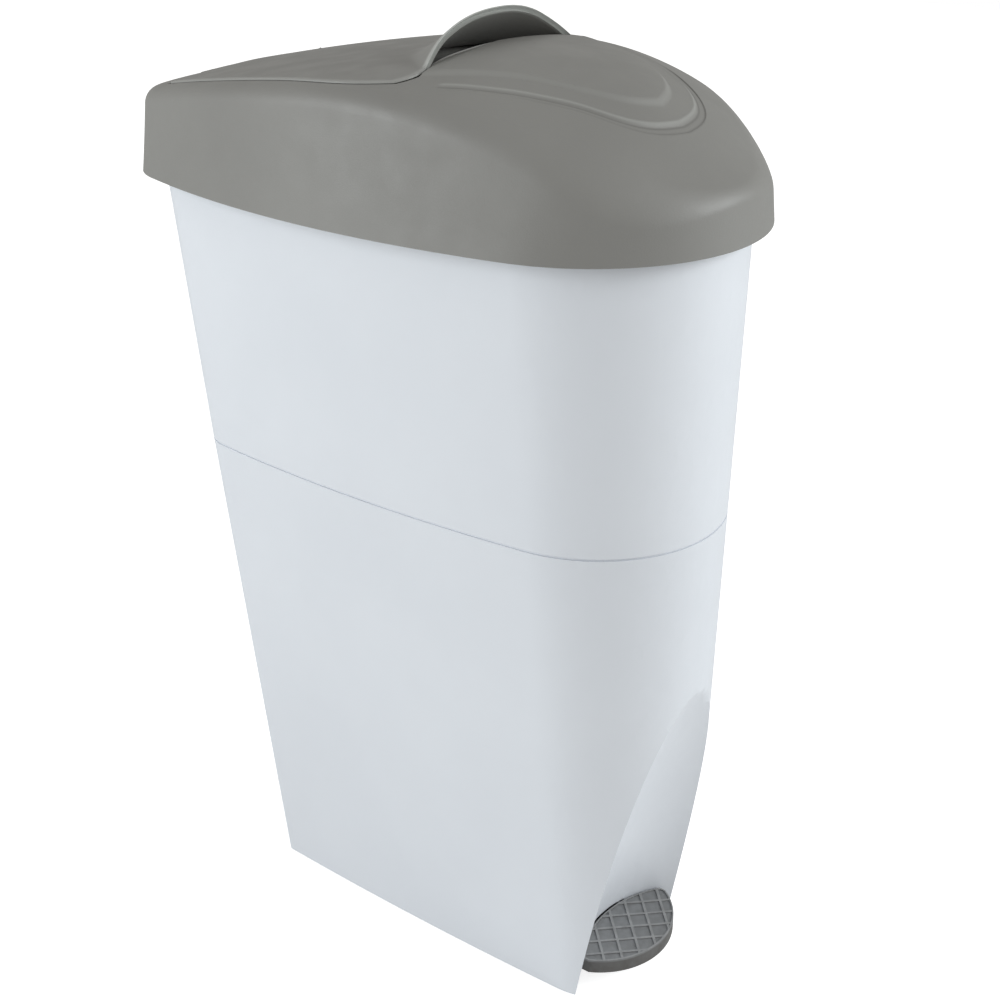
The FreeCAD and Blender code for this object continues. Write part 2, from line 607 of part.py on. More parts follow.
def lid_cover():
    shell = cover_solid(0, COVER_EDGE_Z, 610).cut(above_top(0))
    room = cover_solid(WALL, COVER_EDGE_Z - 1, 612).cut(above_top(WALL))
    under_ledge = flap_prism(SEAM + WALL, 400, 700).common(above_top(LEDGE_DROP + WALL))
    shell = shell.cut(room.cut(under_ledge))
    shell = shell.cut(flap_prism(SEAM, 400, 700).common(above_top(LEDGE_DROP)))
    shell = shell.cut(flap_prism(-9.0, 400, 700))
    # trough for the flap's hinge barrel
    trough = box((-EAR_X[0], EAR_X[0]), (140, HINGE.y + TROUGH_BACK), (HINGE.z - TROUGH_DEEP, 620))
    shell = shell.cut(trough)
    shell = shell.fuse(cover_ribs().cut(above_top(WALL - 0.3)))
    for side in (-1, 1):
        x = sorted((side * EAR_X[0], side * EAR_X[1]))
        ear = box(x, (FLAP_BACK + BACK_SEAM, HINGE.y + BARREL_R), (HINGE.z - BARREL_R, HINGE.z + 10))
        shell = shell.fuse(ear.cut(above_top(EAR_DROP)))
        clip_room = Vec(side * EAR_X[1], 0, 0)
        shell = shell.cut(bar(HINGE + clip_room, HINGE + clip_room * 1.06, CLIP_R + 0.1))
    bore_half = Vec(HINGE_END + 3, 0, 0)
    return shell.cut(bar(HINGE - bore_half, HINGE + bore_half, HINGE_R)).removeSplitter()


save("lid_cover", lid_cover())
save("hinge_pin", bar(HINGE - Vec(HINGE_END, 0, 0), HINGE + Vec(HINGE_END, 0, 0), HINGE_R))

def flap_buffers():
    """Rubber discs on the ledge that the flap lands on."""
    discs = []
    for x, y in BUFFERS:
        disc = Part.makeCylinder(BUFFER_R, 200, Vec(x, y, 450))
        discs.append(disc.cut(above_top(FLAP_T + BUFFER_GAP)).common(above_top(LEDGE_DROP)))
    return Part.makeCompound(discs)


# ---- flap ----------------------------------------------------------------------------------
def hood_rise(x, y):
    """Height of the hood: an arch over the flap's front edge that falls away behind it."""
    back = (y - FLAP_FRONT) / HOOD_LENGTH
    return HOOD_HEIGHT * ((1 - back) ** 2 - (x / HOOD_HALF) ** 2)


def lid_flap():
    plate = flap_prism(0, 400, 700).cut(above_top(0)).common(above_top(FLAP_T))
    hood = top_surface(hood_rise, HOOD_XS, HOOD_YS, 0).extrude(Vec(0, 0, -HOOD_T))
    flap = plate.fuse(hood.common(above_top(FLAP_T)).common(flap_prism(0, 400, 700)))
    barrel = bar(HINGE - Vec(TONGUE_HALF, 0, 0), HINGE + Vec(TONGUE_HALF, 0, 0), BARREL_R)
    flap = flap.fuse(barrel)
    web = box((-LUG_HALF, LUG_HALF), (LUG.y - 2.2, LUG.y + 2.2), (LUG.z, 600)).cut(above_top(1.0))
    flap = flap.fuse(web).fuse(bar(LUG - Vec(LUG_HALF, 0, 0), LUG + Vec(LUG_HALF, 0, 0), LUG_ROUND))
    flap = flap.cut(bar(HINGE - Vec(70, 0, 0), HINGE + Vec(70, 0, 0), HINGE_R + RUNNING))
    return flap.removeSplitter()


save("flap_buffers", flap_buffers())
save("lid_flap", lid_flap())
save("pin_clips", Part.makeCompound(
    [ring(HINGE + Vec(side * EAR_X[1], 0, 0), Vec(side, 0, 0), HINGE_R, CLIP_R, 1.0) for side in (-1, 1)]))
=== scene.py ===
import math
import bpy
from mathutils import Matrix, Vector


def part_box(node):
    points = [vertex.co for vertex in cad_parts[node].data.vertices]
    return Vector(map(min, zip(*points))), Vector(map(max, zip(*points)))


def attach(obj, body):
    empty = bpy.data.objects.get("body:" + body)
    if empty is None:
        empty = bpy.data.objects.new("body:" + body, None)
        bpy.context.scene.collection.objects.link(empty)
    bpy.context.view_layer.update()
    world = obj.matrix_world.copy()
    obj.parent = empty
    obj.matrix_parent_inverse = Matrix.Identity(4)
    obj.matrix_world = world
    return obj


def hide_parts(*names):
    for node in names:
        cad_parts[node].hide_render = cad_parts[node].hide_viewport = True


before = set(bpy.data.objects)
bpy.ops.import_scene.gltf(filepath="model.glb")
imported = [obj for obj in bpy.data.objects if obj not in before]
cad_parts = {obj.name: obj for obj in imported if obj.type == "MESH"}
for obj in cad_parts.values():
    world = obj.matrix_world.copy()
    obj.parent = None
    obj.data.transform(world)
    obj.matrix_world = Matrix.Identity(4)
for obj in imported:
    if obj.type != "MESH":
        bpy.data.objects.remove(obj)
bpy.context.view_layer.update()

# ---- the view, the floor and the light ------------------------------------------------------
# A pale studio: a floor, large soft lights round the front and the left, and a camera that looks
# down on the bin's left side and nose from a little over a metre away.
CAMERA_AT = Vector((-0.74286, -0.61427, 0.74817))
CAMERA_AIM = Vector((0.71196, 0.55935, -0.42455))
CAMERA_LENS, CAMERA_SENSOR = 59.62, 36.0
SKY = 0.44                 # what the room gives from all round
DAYLIGHT = (0.94, 0.985, 1.0)
BIN_MIDDLE = (0.0, 0.0, 0.30)


def soft_light(name, at, towards, size, watts, tint):
    bpy.ops.object.light_add(type="AREA", location=at)
    lamp = bpy.context.object
    lamp.name = name
    lamp.data.shape = "RECTANGLE"
    lamp.data.size, lamp.data.size_y = size
    lamp.data.energy = watts
    lamp.data.color = tint
    lamp.rotation_euler = (Vector(towards) - Vector(at)).to_track_quat("-Z", "Y").to_euler()


bpy.ops.object.camera_add(location=CAMERA_AT, rotation=CAMERA_AIM.to_track_quat("-Z", "Y").to_euler())
camera = bpy.context.object
camera.data.lens = CAMERA_LENS
camera.data.sensor_width = CAMERA_SENSOR
bpy.context.scene.camera = camera

world = bpy.data.worlds.new("studio")
bpy.context.scene.world = world
world.use_nodes = True
sky = world.node_tree.nodes["Background"]
sky.inputs["Color"].default_value = (1.0, 0.985, 0.955, 1.0)
sky.inputs["Strength"].default_value = SKY
backdrop = world.node_tree.nodes.new("ShaderNodeBackground")
backdrop.inputs["Color"].default_value = (1.0, 1.0, 1.0, 1.0)
seen = world.node_tree.nodes.new("ShaderNodeLightPath")
either = world.node_tree.nodes.new("ShaderNodeMixShader")
world.node_tree.links.new(seen.outputs["Is Camera Ray"], either.inputs["Fac"])
world.node_tree.links.new(sky.outputs[0], either.inputs[1])
world.node_tree.links.new(backdrop.outputs[0], either.inputs[2])
world.node_tree.links.new(either.outputs[0], world.node_tree.nodes["World Output"].inputs["Surface"])
bpy.context.scene.view_settings.view_transform = "Standard"

soft_light("window_left", (-2.05, 1.15, 1.1), BIN_MIDDLE, (1.2, 1.6), 31.0, DAYLIGHT)
soft_light("window_front", (1.05, -2.05, 1.35), BIN_MIDDLE, (1.3, 1.1), 36.0, DAYLIGHT)

bpy.ops.mesh.primitive_grid_add(size=8.0, x_subdivisions=4, y_subdivisions=4, location=(0, 0, 0))
floor = bpy.context.object
floor.name = "floor"


def finish_nodes(name, colour, roughness):
    """New material with a Principled shader; gives the material, its node tree and the shader."""
    made = bpy.data.materials.new(name)
    made.use_nodes = True
    shader = made.node_tree.nodes["Principled BSDF"]
    shader.inputs["Base Color"].default_value = (*colour, 1.0)
    shader.inputs["Roughness"].default_value = roughness
    return made, made.node_tree, shader


def grain(tree, scale, detail):
    """Noise at so many grains to the metre, on the piece's own place."""
    place = tree.nodes.new("ShaderNodeTexCoord")
    noise = tree.nodes.new("ShaderNodeTexNoise")
    noise.inputs["Scale"].default_value = scale
    noise.inputs["Detail"].default_value = detail
    tree.links.new(place.outputs["Object"], noise.inputs["Vector"])
    return noise.outputs["Fac"]


def spread(tree, source, low, high, low_at=0.35, high_at=0.65):
    """The source's middle stretch, mapped to low..high."""
    span = tree.nodes.new("ShaderNodeMapRange")
    span.inputs["From Min"].default_value = low_at
    span.inputs["From Max"].default_value = high_at
    span.inputs["To Min"].default_value = low
    span.inputs["To Max"].default_value = high
    tree.links.new(source, span.inputs["Value"])
    return span.outputs["Result"]


def two_tones(tree, shader, source, dark, light):
    """Base colour that drifts between two close tones."""
    ramp = tree.nodes.new("ShaderNodeValToRGB")
    ramp.color_ramp.elements[0].position = 0.35
    ramp.color_ramp.elements[1].position = 0.65
    ramp.color_ramp.elements[0].color = (*dark, 1.0)
    ramp.color_ramp.elements[1].color = (*light, 1.0)
    tree.links.new(source, ramp.inputs["Fac"])
    tree.links.new(ramp.outputs["Color"], shader.inputs["Base Color"])


def relief(tree, shader, heights, depth):
    """Bump from one or more (source, share) pairs."""
    total = None
    for source, share in heights:
        part = tree.nodes.new("ShaderNodeMath")
        part.operation = "MULTIPLY"
        part.inputs[1].default_value = share
        tree.links.new(source, part.inputs[0])
        if total is not None:
            both = tree.nodes.new("ShaderNodeMath")
            both.operation = "ADD"
            tree.links.new(total, both.inputs[0])
            tree.links.new(part.outputs[0], both.inputs[1])
            total = both.outputs[0]
        else:
            total = part.outputs[0]
    bump = tree.nodes.new("ShaderNodeBump")
    bump.inputs["Strength"].default_value = 1.0
    bump.inputs["Distance"].default_value = depth
    tree.links.new(total, bump.inputs["Height"])
    tree.links.new(bump.outputs["Normal"], shader.inputs["Normal"])


def moulded(name, dark, light, roughness, texture, depth):
    """Moulded plastic: two close tones, a spark-eroded grain and smudged gloss."""
    made, tree, shader = finish_nodes(name, light, roughness)
    clouds = grain(tree, 9.0, 3.0)
    two_tones(tree, shader, clouds, dark, light)
    tree.links.new(spread(tree, grain(tree, 45.0, 2.0), roughness - 0.05, roughness + 0.06),
                   shader.inputs["Roughness"])
    relief(tree, shader, ((grain(tree, texture, 4.0), 0.7), (grain(tree, texture * 0.25, 2.0), 0.3)), depth)
    return made


paper, paper_tree, paper_shader = finish_nodes("studio_floor", (0.74, 0.74, 0.74), 0.8)
two_tones(paper_tree, paper_shader, grain(paper_tree, 2.0, 2.0), (0.73, 0.73, 0.73), (0.75, 0.75, 0.75))
paper_shader.inputs["Emission Color"].default_value = (1.0, 1.0, 1.0, 1.0)
paper_seen = paper_tree.nodes.new("ShaderNodeLightPath")
paper_tree.links.new(spread(paper_tree, paper_seen.outputs["Is Camera Ray"], 0.0, 0.80, 0.0, 1.0),
                     paper_shader.inputs["Emission Strength"])
floor.data.materials.append(paper)


# ---- casings ---------------------------------------------------------------------------------
# Two white shells of moulded polypropylene, one standing in the other at a groove round the
# middle; the lower one has the foot recess scooped out of its nose. Their edges are just broken.
EDGE_BREAK = 0.0009
SMOOTH_BELOW = 35.0        # faces that meet at a smaller angle are shaded as one, in degrees
white_plastic = moulded("white_casing_plastic", (0.745, 0.772, 0.820), (0.768, 0.795, 0.842),
                        0.42, 2600.0, 0.00003)


def pick(piece):
    """Make one object the only one selected, and active."""
    bpy.ops.object.select_all(action="DESELECT")
    piece.hide_set(False)
    piece.select_set(True)
    bpy.context.view_layer.objects.active = piece


def smooth(piece):
    pick(piece)
    bpy.ops.object.shade_smooth_by_angle(angle=math.radians(SMOOTH_BELOW))


def merged_copy(node, name):
    """A welded copy of a CAD piece, to be given broken edges."""
    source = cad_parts[node]
    copy = source.copy()
    copy.data = source.data.copy()
    copy.name = name
    copy.parent = None
    for key in list(copy.keys()):
        del copy[key]
    bpy.context.scene.collection.objects.link(copy)
    copy.data.materials.clear()
    pick(copy)
    bpy.ops.object.mode_set(mode="EDIT")
    bpy.ops.mesh.select_all(action="SELECT")
    bpy.ops.mesh.remove_doubles(threshold=0.00001)
    bpy.ops.mesh.dissolve_limited(angle_limit=math.radians(0.5))
    bpy.ops.object.mode_set(mode="OBJECT")
    return copy


def broken_edges(piece, width, sharp=40.0, segments=3):
    """Round every sharp edge a little, and let the large faces lead the shading round it."""
    bevel = piece.modifiers.new("edge_break", "BEVEL")
    bevel.width = width
    bevel.segments = segments
    bevel.limit_method = "ANGLE"
    bevel.angle_limit = math.radians(sharp)
    bevel.harden_normals = False
    bevel.use_clamp_overlap = True
    bevel.loop_slide = True
    pick(piece)
    bpy.ops.object.modifier_apply(modifier=bevel.name)
    smooth(piece)
    even = piece.modifiers.new("even_shading", "WEIGHTED_NORMAL")
    even.mode = "FACE_AREA"
    even.weight = 90
    even.keep_sharp = True
    bpy.ops.object.modifier_apply(modifier=even.name)


def dressed_copy(node, name, body, material, width):
    piece = merged_copy(node, name)
    broken_edges(piece, width)
    piece.data.materials.append(material)
    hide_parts(node)
    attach(piece, body)
    return piece


for node in ("lower_casing", "upper_casing"):
    dressed_copy(node, node + "_shell", "bin", white_plastic, EDGE_BREAK)


# ---- lid cover -------------------------------------------------------------------------------
# The lift-off cover: a warm grey moulding with a domed front and a rebated mouth behind it for
# the flap. Its walls lean in, its shoulder is soft, and the dome carries a shallow oval relief.
LID_WALL = 0.0025
MOUTH_INSET = 0.018        # the mouth's side edge, in from the skirt's lower edge
MOUTH_FRONT, MOUTH_BACK = -0.0297, 0.1611
TROUGH_HALF, TROUGH_BACK, TROUGH_LOW = 0.0495, 0.1722, 0.540
LEDGE_DROP, LEDGE_WIDTH = 0.0044, 0.009
CORNER_IN, CORNER_LONG = 0.0100, 0.046
BOW, BOW_START, BOW_END, BOW_FADE = 0.0050, 0.044, 0.0868, 0.026
SHOULDER_DOWN = 0.78       # how far the soft shoulder reaches down the wall, as a share of its reach in
NOSE_REACH, SIDE_REACH, BACK_REACH = 0.0055, 0.0115, 0.0085
REACH_SWELL = 0.010        # how much further in it reaches beside the dome
TOP_STRIP = 0.0010         # the least that is left between the shoulder and the mouth or dome
TROUGH_STEP = 0.002        # half the turn between the mouth's back edge and the trough's side
WALL_ROWS, SHOULDER_ROWS, STRIP_ROWS = 6, 10, 4
SKIN_ROWS = WALL_ROWS + SHOULDER_ROWS + STRIP_ROWS
PLATEAU_RISE, PLATEAU_SLOPE = 0.0021, 0.0026
CHANNEL_DEPTH, CHANNEL_WIDTH = 0.0011, 0.0056
CHANNEL_FLANK = 0.0017
CHANNEL_START, CHANNEL_RAMP = 13.5, 3.0    # angle where the channel begins, and over how much
LIP_START, LIP_RAMP = 40, 20               # the same for the small step outside it
LIP_DEPTH, LIP_WIDTH = 0.00055, 0.0008
BEAD_HEIGHT = 0.00035
DOME_MIDDLE = Vector((0.0, MOUTH_FRONT))
SKIRT_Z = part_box("lid_cover")[0].z
LEAN_Z = SKIRT_Z + 0.080
# nose y, back y, nose radius, half width, y of the widest place, back corner radius
SKIRT_PLAN = (-0.196, 0.196, 0.1054, 0.1163, 0.0109, 0.0466)
LEAN_PLAN = (-0.190, 0.1925, 0.0880, 0.1080, 0.0200, 0.0430)
RIDGE_LINE = ((-0.200, 0.5250), (-0.180, 0.5376), (-0.155, 0.5560), (-0.130, 0.5710), (-0.100, 0.5810),
              (-0.065, 0.5860), (-0.028, 0.5860), (0.010, 0.5805), (0.050, 0.5755), (0.090, 0.5697),
              (0.130, 0.5625), (0.165, 0.5550), (0.200, 0.5465))
CROWN_LINE = ((-0.200, 3.00), (-0.180, 2.90), (-0.150, 2.60), (-0.110, 2.20), (-0.065, 1.60),
              (-0.028, 1.13), (0.010, 0.60), (0.060, 0.46), (0.200, 0.44))
# radius of the relief's lines about the dome's middle, by the angle down from the mouth's edge
PLATEAU_LINE = ((0, 0.072), (11, 0.0676), (20, 0.0655), (39, 0.066), (55, 0.0747), (64, 0.085), (72, 0.0947),
                (80, 0.1032), (90, 0.1085))
CHANNEL_LINE = ((0, 0.083), (15, 0.0802), (25, 0.0788), (35, 0.0804), (46, 0.0848), (55, 0.0916), (63, 0.100),
                (68, 0.1070), (73, 0.1132), (78, 0.1175), (84, 0.1200), (90, 0.1212))
# colours that the tone mixes into the grey moulding: a painted highlight and a painted shade
PAINTED_HIGHLIGHT_TONE, PAINTED_SHADE_TONE = (0.46, 0.47, 0.45), (0.12, 0.118, 0.112)
grey_plastic = moulded("grey_lid_plastic", (0.232, 0.228, 0.216), (0.250, 0.246, 0.233),
                       0.48, 1100.0, 0.00012)


def toned(made):
    """Painted highlight where the mesh's "tone" is up (the flap's edges, the relief's edge lines) and painted
    shade where it is down (the relief's channel and the small step outside it).
    """
    tree = made.node_tree
    shader = tree.nodes["Principled BSDF"]
    colour = shader.inputs["Base Color"].links[0].from_socket
    tone = tree.nodes.new("ShaderNodeAttribute")
    tone.attribute_name = "tone"
    for paint, full in ((PAINTED_HIGHLIGHT_TONE, 1.0), (PAINTED_SHADE_TONE, -1.0)):
        blend = tree.nodes.new("ShaderNodeMix")
        blend.data_type = "RGBA"
        blend.inputs["B"].default_value = (*paint, 1.0)
        tree.links.new(spread(tree, tone.outputs["Fac"], 0.0, 1.0, 0.0, full), blend.inputs["Factor"])
        tree.links.new(colour, blend.inputs["A"])
        colour = blend.outputs["Result"]
    tree.links.new(colour, shader.inputs["Base Color"])


toned(grey_plastic)


def smooth_line(points):
    """Natural cubic through (place, value) points; gives the function."""
    xs, ys = zip(*points)
    count = len(xs)
    low, main, right = [0.0] * count, [1.0] * count, [0.0] * count
    high = [0.0] * count
    for k in range(1, count - 1):
        before, after = xs[k] - xs[k - 1], xs[k + 1] - xs[k]
        low[k], main[k], high[k] = before / 6, (before + after) / 3, after / 6
        right[k] = (ys[k + 1] - ys[k]) / after - (ys[k] - ys[k - 1]) / before
    for k in range(1, count):
        share = low[k] / main[k - 1]
        main[k] -= share * high[k - 1]
        right[k] -= share * right[k - 1]
    bend = [0.0] * count
    for k in range(count - 2, 0, -1):
        bend[k] = (right[k] - high[k] * bend[k + 1]) / main[k]

    def value(at):
        at = min(max(at, xs[0]), xs[-1])
        k = min(max(i for i in range(count) if xs[i] <= at), count - 2)
        step = xs[k + 1] - xs[k]
        a, b = (xs[k + 1] - at) / step, (at - xs[k]) / step
        return (a * ys[k] + b * ys[k + 1]
                + ((a ** 3 - a) * bend[k] + (b ** 3 - b) * bend[k + 1]) * step ** 2 / 6)

    return value


ridge_height = smooth_line(RIDGE_LINE)
crown_fall = smooth_line(CROWN_LINE)
plateau_radius = smooth_line(PLATEAU_LINE)
channel_radius = smooth_line(CHANNEL_LINE)


def top_height(x, y):
    """Height of the lid's plain top surface."""
    return ridge_height(y) - crown_fall(y) * x * x


def ease(value):
    value = min(max(value, 0.0), 1.0)
    return value * value * (3 - 2 * value)


def mix(low, high, share):
    return low + (high - low) * share


def plan_arcs(section, inset):
    """Nose, side and corner arcs of the right half: centre x and y, radius, first and last angle."""
    nose, back, nose_r, half, widest, corner_r = section
    nose, back = nose + inset, back - inset
    nose_r, half, corner_r = nose_r - inset, half - inset, corner_r - inset
    nose_y = nose + nose_r
    side_r = (nose_r ** 2 - half ** 2 - (widest - nose_y) ** 2) / (2 * (nose_r - half))
    side_x = half - side_r
    join = math.atan2(nose_y - widest, -side_x)
    corner_y = back - corner_r
    corner_x = side_x + math.sqrt((side_r - corner_r) ** 2 - (corner_y - widest) ** 2)
    turn = math.atan2(corner_y - widest, corner_x - side_x)
    return ((0.0, nose_y, nose_r, -math.pi / 2, join), (side_x, widest, side_r, join, turn),
            (corner_x, corner_y, corner_r, turn, math.pi / 2))


def plan_point(section, inset, way):
    """Outline point; way runs 0-1 round the nose, to 2 along the side, to 3 round the corner, and
    to 4 at the middle of the back."""
    arcs = plan_arcs(section, inset)
    if way > 3:
        return Vector((arcs[2][0] * (4 - way), arcs[2][1] + arcs[2][2]))
    piece = min(int(way), 2)
    x, y, radius, first, last = arcs[piece]
    angle = mix(first, last, way - piece)
    return Vector((x + radius * math.cos(angle), y + radius * math.sin(angle)))


def opening_point(inset, way):
    """The outline of the flap and its opening: the skirt's plan, cut in towards the front corners."""
    at = plan_point(SKIRT_PLAN, inset, way)
    share = max(0.0, 1 - (at.y - MOUTH_FRONT) / CORNER_LONG)
    at.x -= CORNER_IN * share * share
    return at


def bowed(at, back=0.0):
    """The mouth's front edge bows forward near its ends; the bow dies away behind and ahead of it."""
    share = (abs(at.x) - BOW_START) / (BOW_END - BOW_START)
    if not 0 < share < 1:
        return at
    bow = BOW * math.sin(math.pi * share ** 1.7) * max(0.0, 1 - abs(back) / BOW_FADE)
    return Vector((at.x, at.y - bow))


def way_at(section, inset, y):
    """The way at which the outline passes a given y."""
    low, high = 0.0, 3.0
    for _ in range(50):
        middle = (low + high) / 2
        if plan_point(section, inset, middle).y < y:
            low = middle
        else:
            high = middle
    return low


def wall_point(way, z):
    share = (z - SKIRT_Z) / (LEAN_Z - SKIRT_Z)
    section = [mix(a, b, share) for a, b in zip(SKIRT_PLAN, LEAN_PLAN)]
    return plan_point(section, 0.0, way)


def crease_point(way):
    """Where the wall's line would meet the top, without the soft shoulder."""
    z = 0.57
    for _ in range(12):
        at = wall_point(way, z)
        z = top_height(at.x, at.y)
    return Vector((at.x, at.y, z))


def steps(low, high, count):
    return [mix(low, high, k / count) for k in range(1, count + 1)]


WAY_FRONT = way_at(SKIRT_PLAN, MOUTH_INSET, MOUTH_FRONT)
WAY_BACK = way_at(SKIRT_PLAN, MOUTH_INSET, MOUTH_BACK)
BACK_HALF = plan_point(SKIRT_PLAN, MOUTH_INSET, WAY_BACK).x
WAY_TROUGH = mix(WAY_BACK, 4.0, 1 - TROUGH_HALF / BACK_HALF)
FRONT_WAYS = [0.0] + steps(0.0, 1.0, 26) + steps(1.0, WAY_FRONT, 40)
WAYS = (FRONT_WAYS + steps(WAY_FRONT, 2.0, 36) + steps(2.0, WAY_BACK, 6)
        + steps(WAY_BACK, WAY_TROUGH - TROUGH_STEP, 10) + steps(WAY_TROUGH + TROUGH_STEP, 4.0, 14))
WAYS.insert(WAYS.index(WAY_TROUGH - TROUGH_STEP) + 1, WAY_TROUGH + TROUGH_STEP)
LAST = len(WAYS) - 1


def both_sides(place):
    """Columns 0..LAST run up the right side from the nose, and the rest come back down the left."""
    def placed(column, row):
        if column <= LAST:
            return place(WAYS[column], row)
        at = place(WAYS[2 * LAST - column], row)
        return Vector((-at.x, at.y, at.z))
    return placed


def mouth_point(way):
    """The mouth's edge at the sides and the back; the trough's edge between the hinge ears."""
    if way <= WAY_BACK:
        return opening_point(MOUTH_INSET, way)
    if way < WAY_TROUGH:
        share = (way - WAY_BACK) / (WAY_TROUGH - TROUGH_STEP - WAY_BACK)
        return Vector((mix(BACK_HALF, TROUGH_HALF, share), MOUTH_BACK))
    return Vector((TROUGH_HALF * (4 - way) / (4 - WAY_TROUGH - TROUGH_STEP), TROUGH_BACK))


def shoulder_reach(way):
    """How far the soft shoulder reaches in over the top."""
    crease = crease_point(min(way, 4.0))
    if way >= WAY_FRONT:
        room = (mouth_point(way) - crease.xy).length - TOP_STRIP
        return min(room, mix(SIDE_REACH, BACK_REACH, ease(way - 1.6)))
    swell = math.sin(math.pi * min(way / WAY_FRONT, 1.0)) ** 2
    return mix(NOSE_REACH, SIDE_REACH, ease(way / WAY_FRONT)) + REACH_SWELL * swell


def skin_place(way, row):
    """Skirt, shoulder and the strip round the mouth."""
    crease = crease_point(way)
    target = mouth_point(way) if way >= WAY_FRONT else DOME_MIDDLE
    inward = (target - crease.xy).normalized()
    reach = shoulder_reach(way)
    wall_top = crease.z - SHOULDER_DOWN * reach - 0.001
    if row <= WALL_ROWS:
        z = mix(SKIRT_Z, wall_top, row / WALL_ROWS)
        at = wall_point(way, z)
        return Vector((at.x, at.y, z))
    foot = wall_point(way, wall_top)
    foot = Vector((foot.x, foot.y, wall_top))
    over = crease.xy + inward * reach
    over = Vector((over.x, over.y, top_height(over.x, over.y)))
    if row <= WALL_ROWS + SHOULDER_ROWS:
        t = (row - WALL_ROWS) / SHOULDER_ROWS
        weights = ((1 - t) ** 2, 1.5 * t * (1 - t), t * t)
        return (foot * weights[0] + crease * weights[1] + over * weights[2]) / sum(weights)
    edge = mouth_point(way) if way >= WAY_FRONT else crease.xy + inward * (reach + TOP_STRIP)
    if way >= WAY_BACK or row < SKIN_ROWS:
        edge = over.xy.lerp(edge, (row - WALL_ROWS - SHOULDER_ROWS) / STRIP_ROWS)
    return Vector((edge.x, edge.y, top_height(edge.x, edge.y)))


def channel_gate(angle):
    """How much of the channel there is at an angle."""
    return ease((angle - CHANNEL_START) / CHANNEL_RAMP)


def plateau_gate(angle):
    """How much of the plateau there is at an angle."""
    return ease((angle + 8) / 14)


def lip_gate(angle):
    """How much there is of the small step outside the channel."""
    return ease((angle - LIP_START) / LIP_RAMP)


def relief_height(angle, radius):
    """The oval relief on the dome: a plateau, and outside it a channel with a crisp inner edge."""
    plateau = plateau_radius(angle)
    inner = channel_radius(angle)
    on_plateau = ease((plateau + PLATEAU_SLOPE - radius) / (2 * PLATEAU_SLOPE))
    height = PLATEAU_RISE * on_plateau * plateau_gate(angle)
    out = radius - inner
    gate = channel_gate(angle)
    lip = mix(0.0, LIP_DEPTH, lip_gate(angle))
    bead = BEAD_HEIGHT * gate * ease(1 - abs(out + 0.0010) / 0.0016)
    if 0 < out < CHANNEL_WIDTH:
        height -= gate * mix(CHANNEL_DEPTH, lip, out / CHANNEL_WIDTH) * ease(out / CHANNEL_FLANK)
    elif CHANNEL_WIDTH <= out < CHANNEL_WIDTH + LIP_WIDTH:
        height -= gate * lip * (1 - ease((out - CHANNEL_WIDTH) / LIP_WIDTH))
    return height + bead


def relief_tone(angle, radius):
    """Painted highlight along the channel's inner edge and faintly along the plateau's edge; painted shade at
    that edge's foot in the channel and at the small step outside it.
    """
    out = radius - channel_radius(angle)
    gate = channel_gate(angle)
    tone = 0.34 * gate * ease(1 - abs(out + 0.0004) / 0.0014)
    tone += 0.12 * ease(1 - abs(radius - plateau_radius(angle)) / 0.0030) * plateau_gate(angle)
    # painted shade in the channel, and below at the small step outside it
    tone -= 0.50 * gate * ease(1 - abs(out - 0.0021) / 0.0011)
    return tone - 0.45 * gate * lip_gate(angle) * ease(1 - abs(out - CHANNEL_WIDTH - 0.0002) / 0.0011)


def relief_radii(angle, outermost):
    """Rings of the dome, close together at the relief's edges."""
    plateau = plateau_radius(angle)
    inner = channel_radius(angle)
    outer = inner + CHANNEL_WIDTH
    close = [outer + d for d in (0.0016, 0.0008, 0.0004, 0.0, -0.0004, -0.0012)]
    close += [inner + d for d in (0.0040, 0.0030, 0.0024, 0.0018, 0.0014, 0.0010, 0.0006, 0.0002)]
    close += [inner + d for d in (-0.0002, -0.0006, -0.0010, -0.0014, -0.0022)]
    close += [mix(inner - 0.0022, plateau + PLATEAU_SLOPE, k / 3) for k in (1, 2)]
    close += [plateau + PLATEAU_SLOPE * d for d in (1.0, 0.7, 0.4, 0.1, -0.1, -0.4, -0.7, -1.0)]
    close += [(plateau - PLATEAU_SLOPE) * d
              for d in (0.92, 0.83, 0.73, 0.62, 0.51, 0.40, 0.29, 0.19, 0.10, 0.03, 0.0)]
    close = [min(radius, outermost - 0.0003 * (k + 1)) for k, radius in enumerate(close)]
    lead = [mix(outermost, close[0], k / 6) for k in range(6)]
    return lead + close


def dome_place(column, row):
    way = FRONT_WAYS[abs(column - len(FRONT_WAYS) + 1)]
    side = -1.0 if column < len(FRONT_WAYS) - 1 else 1.0
    start = skin_place(way, SKIN_ROWS)
    from_middle = start.xy - DOME_MIDDLE
    outermost = from_middle.length
    angle = math.degrees(math.atan2(-from_middle.y, from_middle.x))
    radius = relief_radii(angle, outermost)[row]
    at = DOME_MIDDLE + from_middle * (radius / outermost)
    height = relief_height(angle, radius)
    at = bowed(at, MOUTH_FRONT - at.y)
    return Vector((side * at.x, at.y, top_height(at.x, at.y) + height))


def dome_tone(column, row):
    start = skin_place(FRONT_WAYS[abs(column - len(FRONT_WAYS) + 1)], SKIN_ROWS)
    from_middle = start.xy - DOME_MIDDLE
    angle = math.degrees(math.atan2(-from_middle.y, from_middle.x))
    return relief_tone(angle, relief_radii(angle, from_middle.length)[row])


DOME_ROWS = len(relief_radii(45.0, 0.15)) - 1


def mouth_loop():
    """Right half of the mouth's loop: out along the front edge, then back round the side."""
    front = [("front", row) for row in range(DOME_ROWS, 0, -1)]
    return front + [("side", way) for way in WAYS if way >= WAY_FRONT]


MOUTH_LOOP = mouth_loop()
FRONT_HALF = opening_point(MOUTH_INSET, WAY_FRONT).x


